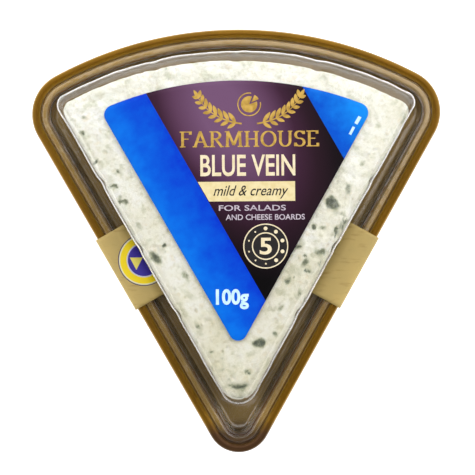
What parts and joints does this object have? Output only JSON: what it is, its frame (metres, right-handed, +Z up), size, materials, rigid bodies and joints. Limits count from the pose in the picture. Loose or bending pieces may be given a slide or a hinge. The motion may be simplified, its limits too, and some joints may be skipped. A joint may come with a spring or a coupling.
{
  "type": "packed wedge of blue cheese",
  "caption": "Wedge of blue-veined cheese lying in a shallow wedge-shaped tray under a clear push-fit lid, with a label on the lid and a kraft paper label wrapped round the rim.",
  "frame": {"origin": "on the table, under the middle of the tray's bounding box", "axes": "+Z up; +Y from the wedge's tip towards its curved rind side; +X to the right, seen from above with the rind side at the top"},
  "size_m": [0.1122, 0.1164, 0.0238],
  "materials": {
    "tray_plastic": "opaque brown-gold thermoformed sheet, glossy",
    "clear_plastic": "clear thermoformed PET sheet, glossy",
    "cheese_paste": "moist, crumbly ivory paste with blue-green mould veins",
    "printed_film": "blue and dark purple printed film label, satin gloss",
    "kraft_paper": "uncoated kraft paper with one printed round mark"
  },
  "bodies": {
    "root": {"tray": "tray_plastic", "cheese_wedge": "cheese_paste", "clear_lid": "clear_plastic", "top_label": "printed_film", "kraft_wrap_label": "kraft_paper"}
  },
  "joints": []
}
